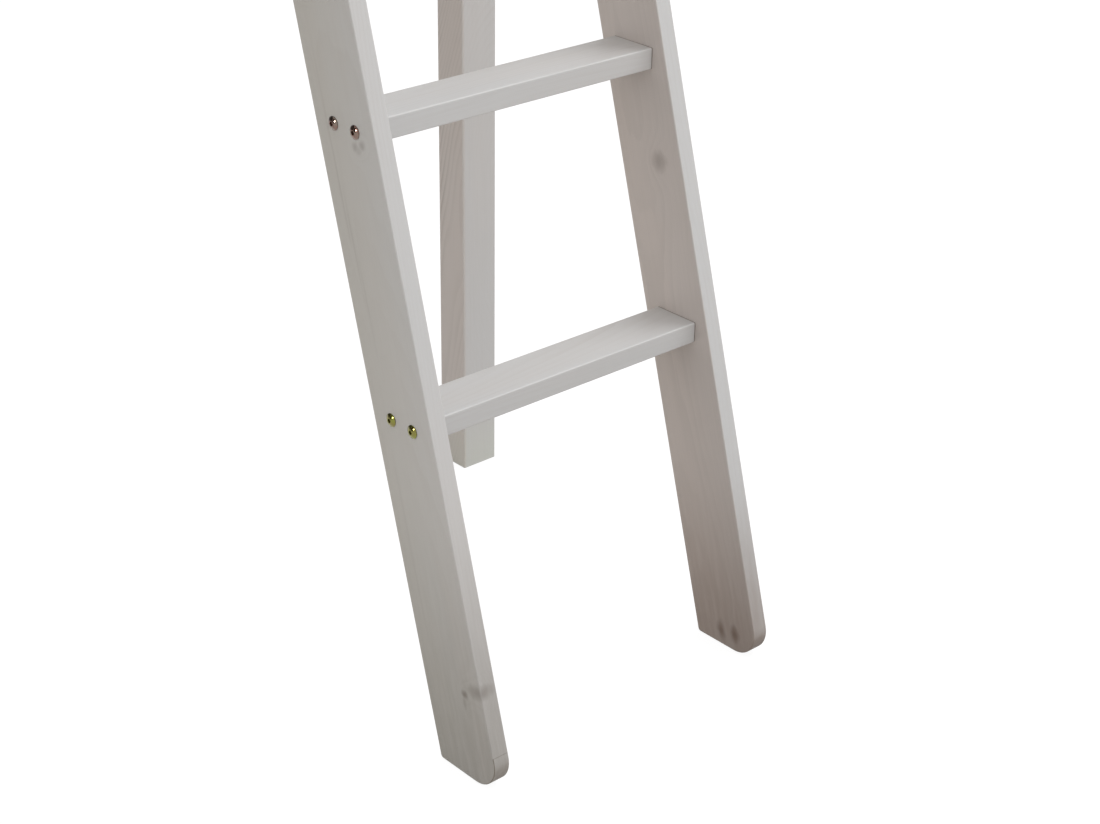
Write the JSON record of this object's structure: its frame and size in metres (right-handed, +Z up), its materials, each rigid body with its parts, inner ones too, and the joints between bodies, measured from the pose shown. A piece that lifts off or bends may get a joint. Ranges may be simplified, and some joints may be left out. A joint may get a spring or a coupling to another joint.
{
  "type": "loft bed",
  "caption": "White-glazed pine loft bed for a single mattress, with guard boards, a slatted base and a slanted ladder hooked on its foot end.",
  "frame": {"origin": "on the floor, in the middle of the box round the whole part, ladder included", "axes": "+Z up, +Y from the ladder end to the head end, +X to the right as seen from the ladder end"},
  "size_m": [1.024, 2.601, 1.925],
  "materials": {
    "white_pine": "thin white glaze, satin",
    "bare_pine": "planed, untreated",
    "beech_dowel": "fluted, untreated",
    "yellow_zinc": "yellow zinc plated steel",
    "hook_steel": "zinc plated, satin"
  },
  "bodies": {
    "bed_frame": {"entry_upright": "white_pine", "frame_barrel_nuts": "yellow_zinc", "frame_bolts": "yellow_zinc", "front_end_rail": "white_pine", "front_left_post": "white_pine", "front_lower_guard": "white_pine", "front_right_post": "white_pine", "front_upper_guard": "white_pine", "guard_barrel_nuts": "yellow_zinc", "guard_bolts": "yellow_zinc", "joint_dowels": "beech_dowel", "ledger_screws": "yellow_zinc", "left_lower_guard": "white_pine", "left_side_rail": "white_pine", "left_slat_ledger": "bare_pine", "left_stretcher": "white_pine", "left_upper_guard": "white_pine", "rear_end_rail": "white_pine", "rear_left_post": "white_pine", "rear_lower_guard": "white_pine", "rear_right_post": "white_pine", "rear_stretcher": "white_pine", "rear_upper_guard": "white_pine", "right_lower_guard": "white_pine", "right_side_rail": "white_pine", "right_slat_ledger": "bare_pine", "right_upper_guard": "white_pine", "slat_01": "bare_pine", "slat_02": "bare_pine", "slat_03": "bare_pine", "slat_04": "bare_pine", "slat_05": "bare_pine", "slat_06": "bare_pine", "slat_07": "bare_pine", "slat_08": "bare_pine", "slat_09": "bare_pine", "slat_10": "bare_pine", "slat_11": "bare_pine", "slat_12": "bare_pine", "slat_13": "bare_pine", "slat_14": "bare_pine", "slat_screws": "yellow_zinc", "upright_bolts": "yellow_zinc", "upright_sleeve_nuts": "yellow_zinc"},
    "ladder": {"hook_screws": "yellow_zinc", "ladder_left_hook": "hook_steel", "ladder_left_stile": "white_pine", "ladder_right_hook": "hook_steel", "ladder_right_stile": "white_pine", "ladder_rung_1": "white_pine", "ladder_rung_2": "white_pine", "ladder_rung_3": "white_pine", "ladder_rung_4": "white_pine", "ladder_rung_5": "white_pine", "rung_barrel_nuts": "yellow_zinc", "rung_bolts": "yellow_zinc"}
  },
  "joints": [
    {"name": "ladder_lift", "type": "slide", "parent": "bed_frame", "child": "ladder", "axis": [0, 0, 1], "range_m": [0, 0.06]}
  ]
}
